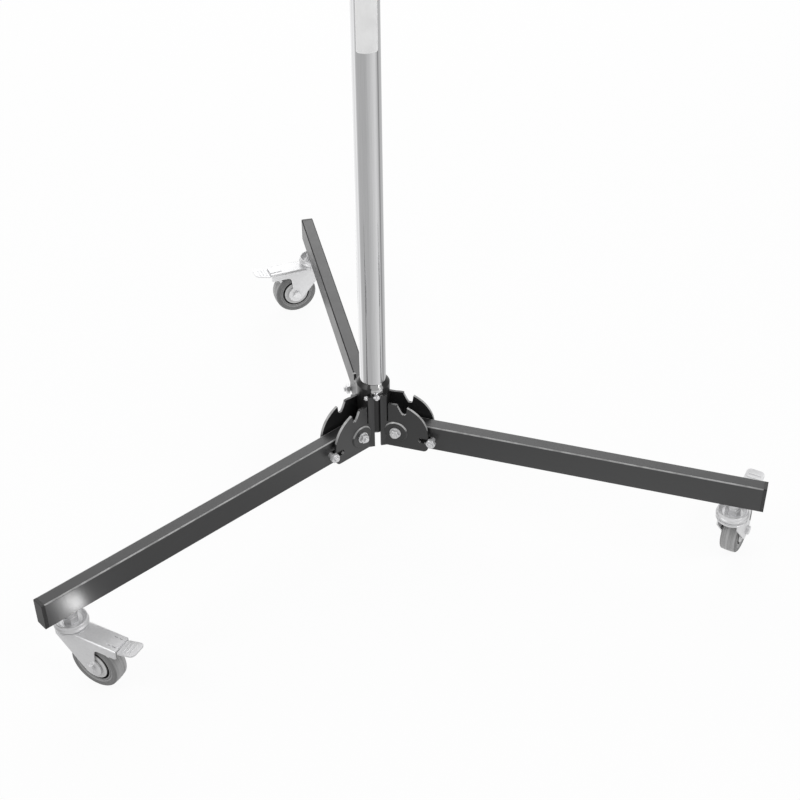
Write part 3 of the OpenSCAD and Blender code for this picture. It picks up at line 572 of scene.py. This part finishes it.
def smooth_copy(name):
    """The node's mesh with its doubled points welded and its flat faces whole."""
    mesh = nodes[name].data.copy()
    mesh.materials.clear()
    drawn = bmesh.new()
    drawn.from_mesh(mesh)
    bmesh.ops.remove_doubles(drawn, verts=drawn.verts, dist=WELD_DISTANCE)
    bmesh.ops.dissolve_limit(drawn, angle_limit=FLAT_WITHIN, verts=drawn.verts,
                             edges=drawn.edges)
    for face in drawn.faces:
        face.smooth = True
        face.material_index = int(SLOPES[0] < face.normal.z < SLOPES[1])
    drawn.to_mesh(mesh)
    drawn.free()
    return mesh


def dress(name, mesh, node=None, body=None, finishes=None, slot=None, at=None):
    """A new piece from a mesh. It rides on its body and stands for its node, if it has one."""
    piece = bpy.data.objects.new(name, mesh)
    bpy.context.scene.collection.objects.link(piece)
    piece.matrix_world = at or Matrix()
    for finish in finishes or [finish_of(node)]:
        piece.data.materials.append(finish)
    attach(piece, body or BODY_OF[node])
    if node:
        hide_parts(node)
        slot = slot or SLOT_OF[node]
    return piece


print("copies for", len(SLOT_OF), "nodes can be made")

# %% [markdown]
# Two pressed pieces of the casters differ a little from their solids. The fork's cheeks end
# in a smaller round about the axle, and its side skirts hang 3 mm deeper. The tread of the
# brake pedal is bent up from its root. Both are done by moving points of the copies in the
# caster's own frame, so one function serves all three casters.

# %% Pressed shapes of the casters
BOSS_R, SLIM_BOSS_R, NEAR = 18.5, 14.5, 0.3
CHEEK_Y = 10
SKIRT_H, SKIRT_SLOPE, SKIRT_DROP = 10, 7, 3
SKIRT_Z, SKIRT_START = FORK_TOP - SKIRT_H, TRAIL + 7.5
# Only the points along a skirt's lower edge move
SKIRT_BAND = (SKIRT_Z - SKIRT_SLOPE - NEAR, SKIRT_Z + NEAR)
PEDAL_ROOT, PEDAL_BEND = 84, math.radians(15)


def reshape(mesh, side, move):
    """Moves the mesh's points in the caster's own frame, in millimetres."""
    to_caster = caster_frame(side).inverted()
    for vertex in mesh.vertices:
        moved = move(*(to_caster @ vertex.co / MM))
        if moved:
            vertex.co = caster_frame(side) @ (Vector(moved) * MM)


def drawn_fork(x, y, z):
    """The cheeks' round ends drawn in round the axle, and the side skirts a little deeper."""
    away = Vector((x - TRAIL, z - WHEEL_R))
    if abs(away.length - BOSS_R) < NEAR and abs(y) > CHEEK_Y:
        away *= SLIM_BOSS_R / BOSS_R
        return TRAIL + away.x, y, WHEEL_R + away.y
    if x > SKIRT_START and SKIRT_BAND[0] < z < SKIRT_BAND[1] and abs(y) > CHEEK_Y:
        return x, y, z - SKIRT_DROP
    return None


def drawn_pedal(x, y, z):
    """The tread bent up from its root."""
    if x > PEDAL_ROOT:
        return (PEDAL_ROOT + (x - PEDAL_ROOT) * math.cos(PEDAL_BEND), y,
                z + (x - PEDAL_ROOT) * math.sin(PEDAL_BEND))
    return None


RESHAPES = {"caster_fork": drawn_fork, "brake_pedal": drawn_pedal}
print("reshaped:", ", ".join(RESHAPES))

# %% [markdown]
# A bevel modifier rounds the edges, and only those that turn sharply enough, so curved
# faces stay whole. Hardened normals keep the flats flat. Where a piece has an edge finish,
# the bevel's own faces wear it, and with it the highlight or shade painted into its colour.

# %% Eased edges
ROUND_STEPS = 2
SHARPER_THAN = math.radians(32)


def ease(node, width, edge=None):
    """The node with its edges rounded. Upper edges get the edge finish, if there is one: a
    painted highlight, or painted shade on the rear leg.
    """
    finish = finish_of(node)
    mesh = smooth_copy(node)
    for start, move in RESHAPES.items():
        if node.startswith(start):
            reshape(mesh, node.split("_")[-1], move)
    piece = dress(node + "_eased", mesh, node, finishes=[finish, edge or finish])
    bevel = piece.modifiers.new("eased_edges", "BEVEL")
    bevel.width = width * MM
    bevel.segments = ROUND_STEPS
    bevel.limit_method = "ANGLE"
    bevel.angle_limit = SHARPER_THAN
    bevel.harden_normals = True
    if edge:
        bevel.material = 1
    flats = piece.modifiers.new("flat_faces", "WEIGHTED_NORMAL")
    flats.keep_sharp = True
    return piece


# The round's width in millimetres, and the finish of the edges where it has one, whose colour is
# a painted highlight or painted shade
EASES = {"hinge_plate": (0.7, hub_edge_highlight), "leg_tube_left": (0.3, leg_edge_highlight),
         "leg_tube_right": (0.3, leg_edge_highlight), "leg_tube_rear": (0.3, rear_edge_shade), "leg_cap": (0.5,),
         "lock_bolt": (0.35,), "pivot_bolts": (0.35,), "caster_fork": (0.4,),
         "caster_cup": (0.3,), "caster_kingpin": (0.35,), "caster_axle": (0.35,),
         "brake_pedal": (0.4,), "collar": (0.6,), "knob": (0.7,), "hub_sleeve": (0.4,),
         "spigot": (0.4,)}
eased = [ease(name, *EASES[start]) for name in sorted(nodes) for start in EASES
         if name.startswith(start)]
print("eased", len(eased), "pieces")

# %% [markdown]
# The bright hood of the left caster throws a patch of light back on the side of its leg. A
# path tracer is slow to find such light, so a small lamp stands in for the hood. It lights
# nothing but that tube, and it is placed so that the photograph's own viewpoint sees its
# sheen where the picture has it.

# %% Sheen over the left caster
SHEEN_ALONG, SHEEN_DEPTH = 531, LEG_H * 0.9


def glint(name, spot, normal, reach, size, power, lit):
    """A small lamp that shows to the camera as a sheen round one spot of one piece."""
    seen_from = camera.matrix_world.translation
    mirrored = (spot - seen_from).normalized().reflect(normal)
    lamp = soft_box(name, spot + reach * mirrored, spot, size, power)
    lamp.visible_camera = False
    receivers = bpy.data.collections.new(name + "_lights")
    for piece in lit:
        receivers.objects.link(piece)
    lamp.light_linking.receiver_collection = receivers
    lamp.light_linking.blocker_collection = receivers


outward = leg_frame("left") @ Vector((0, 1, 0))
sheen_spot = leg_frame("left") @ (Vector((SHEEN_ALONG, LEG_W / 2, LEG_TOP - SHEEN_DEPTH)) * MM)
glint("left_leg_sheen", sheen_spot, outward, reach=0.045, size=(0.020, 0.042), power=0.052,
      lit=[bpy.data.objects["leg_tube_left_eased"]])
print("sheen at", [round(v, 3) for v in sheen_spot])

# %% [markdown]
# The wheels are turned profiles. The core is a pale disc with a deep groove between it and
# its rim, coloured near black as painted shade, which shows as a black crescent under the
# fork. The tyre has squared shoulders, a step down to its bead, a thin mould line round the
# tread and two raised rings on each sidewall.

# %% Turning
LATHE_STEPS = 120


def lathe(profile):
    """A closed ring from (radius, height) points in millimetres, turned about z."""
    drawn = bmesh.new()
    rings = []
    for step in range(LATHE_STEPS):
        angle = 2 * math.pi * step / LATHE_STEPS
        rings.append([drawn.verts.new((radius * MM * math.cos(angle),
                                       radius * MM * math.sin(angle), height * MM))
                      for radius, height in profile])
    for here, there in zip(rings, rings[1:] + rings[:1]):
        for first in range(len(profile)):
            second = (first + 1) % len(profile)
            drawn.faces.new((here[first], there[first], there[second], here[second]))
    bmesh.ops.recalc_face_normals(drawn, faces=drawn.faces)
    for face in drawn.faces:
        face.smooth = True
    mesh = bpy.data.meshes.new("turned")
    drawn.to_mesh(mesh)
    drawn.free()
    return mesh


def both_sides(half_profile):
    """A profile whose lower half mirrors its upper half, from the bore out."""
    return half_profile + [(radius, -height) for radius, height in reversed(half_profile)]


print("a lathe of", LATHE_STEPS, "steps")

# %% [markdown]
# The profiles run from the bore out, as (radius, height) in millimetres. Only one half is
# written, since both sides of a wheel are alike.

# %% Wheels
CRISP_OVER = math.radians(50)
CORE = [(8.1, 13.1), (10.6, 13.1), (11.2, 12.8), (12.4, 12.7), (17.0, 12.6),
        (20.5, 12.5), (21.1, 12.2), (21.4, 11.6), (21.6, 4.6), (22.6, 4.2), (23.8, 4.6),
        (24.1, 10.6), (24.5, 11.2), (26.2, 11.3), (26.8, 11.0), (27.0, 10.2)]
TYRE = [(27.2, 10.4), (27.6, 11.0), (28.8, 11.4), (29.2, 11.3), (29.5, 11.8), (30.2, 12.0),
        (30.5, 12.15), (30.9, 12.15), (31.2, 12.0), (33.4, 12.0), (33.6, 12.15),
        (34.0, 12.15), (34.3, 12.0), (35.2, 11.7), (36.2, 11.0), (36.8, 10.2), (37.0, 9.2),
        (37.25, 5.5), (37.35, 5.1), (37.15, 4.9), (37.4, 4.6), (37.45, 0.5), (37.6, 0.25)]

for side in SIDES:
    for part, profile in (("wheel", CORE), ("tyre", TYRE)):
        node = "caster_" + part + "_" + side
        ring = lathe(both_sides(profile))
        ring.set_sharp_from_angle(angle=CRISP_OVER)
        dress(node + "_turned", ring, node, at=wheel_frame(side))
print("turned", 2 * len(SIDES), "rings")

# %% [markdown]
# Inside each leg a coil spring pulls the lock bolt towards the pivot. The copy keeps the
# solid's wire and curls. It has to shorten by the bolt's own travel when the bolt slides in
# to its notch, but it is not squashed here: only its length along the leg is found.

# %% Lock springs
LOCK_TRAVEL = 16
for side in SIDES:
    node = "lock_spring_" + side
    spring = dress(node + "_wire", smooth_copy(node), node)
    along = leg_frame(side) @ Vector((1, 0, 0))
    reaches = [vertex.co.dot(along) for vertex in spring.data.vertices]
    length = max(reaches) - min(reaches)
    tuple(min(reaches) * along)
    1 - LOCK_TRAVEL * MM / length
    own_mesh(spring)
    print(node, "is", round(length / MM, 1), "mm long")

# %% [markdown]
# A blank white label is wrapped round the column, high up at the front. It is a thin sheet
# with rounded corners that stands a tenth of a millimetre off the chrome.

# %% Label
# Millimetres, and degrees round the column
LABEL_R, LABEL_T, LABEL_MIDDLE, LABEL_SPREAD = 19.12, 0.12, -94.2, 46
LABEL_LOW, LABEL_HIGH, LABEL_CORNER = 729, 850, 3
COLUMNS, ROWS = 48, 64


def label_mesh():
    """A grid bent round the column, narrower in its end rows where the corners turn."""
    half = (LABEL_HIGH - LABEL_LOW) / 2
    drawn = bmesh.new()
    grid = []
    for row in range(ROWS + 1):
        # Rows crowd together at the two ends, where the corners turn
        height = -half * math.cos(math.pi * row / ROWS)
        into = max(0.0, abs(height) - (half - LABEL_CORNER))
        cut = LABEL_CORNER - math.sqrt(max(0.0, LABEL_CORNER ** 2 - into ** 2))
        spread = math.radians(LABEL_SPREAD) - cut / LABEL_R
        grid.append([drawn.verts.new((
            LABEL_R * MM * math.cos(math.radians(LABEL_MIDDLE) + share * spread),
            LABEL_R * MM * math.sin(math.radians(LABEL_MIDDLE) + share * spread),
            (LABEL_LOW + half + height) * MM))
            for share in [2 * column / COLUMNS - 1 for column in range(COLUMNS + 1)]])
    for below, above in zip(grid, grid[1:]):
        for column in range(COLUMNS):
            drawn.faces.new((below[column], below[column + 1], above[column + 1],
                             above[column])).smooth = True
    mesh = bpy.data.meshes.new("label")
    drawn.to_mesh(mesh)
    drawn.free()
    return mesh


label = dress("column_label", label_mesh(), body="stand", finishes=[label_vinyl],
              slot=SLOT_OF["leg_cap_left"])
thickness = label.modifiers.new("vinyl", "SOLIDIFY")
thickness.thickness = LABEL_T * MM
thickness.offset = 1
print("label", LABEL_HIGH - LABEL_LOW, "mm high")

# %% [markdown]
# The plates are welded to the sleeve. Two beads of that weld show from the front: a large one
# above the gap between the two strips, and a small tack above the left strip's outer edge.
# A bead is a lumpy blob: a ball of many facets, stretched, with noise pushed into it. The
# noise comes from the point's own place and a fixed shift, so it is the same each time.

# %% Weld beads
LUMPS = 0.22
WELD_SLOT = SLOT_OF["hub_sleeve"]


def blob(size, seed):
    """A lumpy ball stretched to `size` millimetres."""
    drawn = bmesh.new()
    bmesh.ops.create_icosphere(drawn, subdivisions=4, radius=1)
    for vertex in drawn.verts:
        swell = random_field.noise(vertex.co * 1.7 + Vector((seed, 0, 0)))
        ripple = random_field.noise(vertex.co * 4.5 + Vector((0, seed, 0)))
        vertex.co *= 1 + LUMPS * swell + 0.3 * LUMPS * ripple
        vertex.co = Vector([vertex.co[k] * size[k] / 2 * MM for k in range(3)])
    for face in drawn.faces:
        face.smooth = True
    mesh = bpy.data.meshes.new("bead")
    drawn.to_mesh(mesh)
    drawn.free()
    return mesh


def bead(name, azimuth, radius, height, size, seed):
    at = turn(azimuth) @ Matrix.Translation((radius * MM, 0, height * MM))
    return dress(name, blob(size, seed), body="stand", finishes=[weld_metal], slot=WELD_SLOT,
                 at=at)


# Name, degrees round the column, distance from its axis, height, size, and noise shift
BEADS = [("weld_front", 268.6, 29.0, 201.2, (9.5, 9.5, 7.0), 1.0),
         ("weld_tack", 238.6, 29.6, 200.0, (6.5, 6.5, 7.5), 2.0)]
for row in BEADS:
    bead(*row)
print("made", len(BEADS), "beads")
